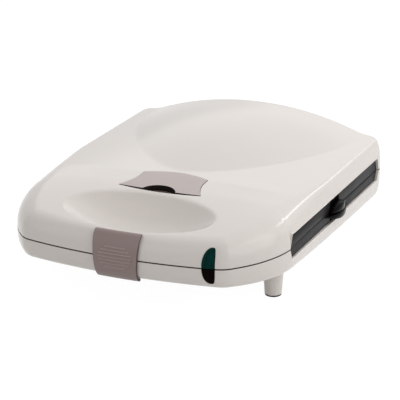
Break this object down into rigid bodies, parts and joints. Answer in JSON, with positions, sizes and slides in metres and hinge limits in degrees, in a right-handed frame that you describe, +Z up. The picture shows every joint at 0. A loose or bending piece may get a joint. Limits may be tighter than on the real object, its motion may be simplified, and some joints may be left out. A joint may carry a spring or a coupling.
{
  "type": "sandwich toaster",
  "caption": "Countertop sandwich toaster with a domed hinged lid, front latch, finger recess and lever, facing cooking grids with side release catches, and feet.",
  "frame": {"origin": "centre of the closed toaster's footprint, on the worktop under the feet", "axes": "+Z up, -Y towards the user and the latch, +Y to the hinge at the back, +X to the right"},
  "size_m": [0.2678, 0.3358, 0.1017],
  "materials": {
    "body": "glossy warm off-white moulding",
    "cover": "matt off-white moulding",
    "latch": "satin taupe moulding",
    "lever": "satin pale taupe moulding",
    "catch": "glossy black moulding",
    "grid": "die cast with a dark satin non-stick coating",
    "reflector": "bright pressed sheet",
    "element": "dull heat-darkened sheath",
    "spring_steel": "bare spring steel",
    "pin": "ground steel rod",
    "screw": "zinc-plated steel",
    "pad": "matt black rubber",
    "gland": "matt black rubber",
    "ceramic": null,
    "thermostat": "steel can on a strap",
    "fuse": "tinned metal case with leads",
    "ready_lens": "clear-tinted green moulding",
    "power_lens": "clear-tinted dark red moulding",
    "lamp": "small neon lamp bulb"
  },
  "bodies": {
    "base": {"base_shell": "body", "foot_posts": "body", "foot_pads": "pad", "lower_cover": "cover", "lower_reflector": "reflector", "lower_element": "element", "lower_element_clips": "spring_steel", "lower_grid": "grid", "lower_grid_clips": "spring_steel", "base_screws": "screw", "hinge_pins": "pin", "cord_gland": "gland", "terminal_block": "ceramic", "thermostat": "thermostat", "thermal_fuse": "fuse", "power_lens": "power_lens", "power_lamp": "lamp", "lower_catch_pins": "pin"},
    "lid": {"lid_shell": "body", "upper_cover": "cover", "upper_reflector": "reflector", "upper_element": "element", "upper_element_clips": "spring_steel", "upper_grid": "grid", "upper_grid_clips": "spring_steel", "lid_screws": "screw", "ready_lens": "ready_lens", "ready_lamp": "lamp", "latch_pin": "pin", "lever_pin": "pin", "upper_catch_pins": "pin"},
    "latch": {"latch": "latch"},
    "lever": {"release_lever": "lever"},
    "catch_ur": {"catch_upper_right": "catch"},
    "catch_ul": {"catch_upper_left": "catch"},
    "catch_lr": {"catch_lower_right": "catch"},
    "catch_ll": {"catch_lower_left": "catch"}
  },
  "joints": [
    {"name": "lid_hinge", "type": "hinge", "parent": "base", "child": "lid", "pos_m": [0, 0.16307, 0.0505], "axis": [-1, 0, 0], "range_deg": [0, 100]},
    {"name": "latch_pivot", "type": "hinge", "parent": "lid", "child": "latch", "pos_m": [0, -0.15693, 0.0643], "axis": [-1, 0, 0], "range_deg": [0, 14]},
    {"name": "lever_pivot", "type": "hinge", "parent": "lid", "child": "lever", "pos_m": [0, -0.04732, 0.08236], "axis": [-1, 0, 0], "range_deg": [0, 15], "stiffness_Nm_per_rad": 0.02, "springref_deg": -17.19},
    {"name": "catch_upper_right_pivot", "type": "hinge", "parent": "lid", "child": "catch_ur", "pos_m": [0.1209, 0.02467, 0.0657], "axis": [0, -1, 0], "range_deg": [0, 20], "stiffness_Nm_per_rad": 0.02, "springref_deg": -17.19},
    {"name": "catch_upper_left_pivot", "type": "hinge", "parent": "lid", "child": "catch_ul", "pos_m": [-0.1209, 0.02467, 0.0657], "axis": [0, 1, 0], "range_deg": [0, 20], "stiffness_Nm_per_rad": 0.02, "springref_deg": -17.19},
    {"name": "catch_lower_right_pivot", "type": "hinge", "parent": "base", "child": "catch_lr", "pos_m": [0.1209, 0.02467, 0.0383], "axis": [0, 1, 0], "range_deg": [0, 20], "stiffness_Nm_per_rad": 0.02, "springref_deg": -17.19},
    {"name": "catch_lower_left_pivot", "type": "hinge", "parent": "base", "child": "catch_ll", "pos_m": [-0.1209, 0.02467, 0.0383], "axis": [0, -1, 0], "range_deg": [0, 20], "stiffness_Nm_per_rad": 0.02, "springref_deg": -17.19}
  ]
}
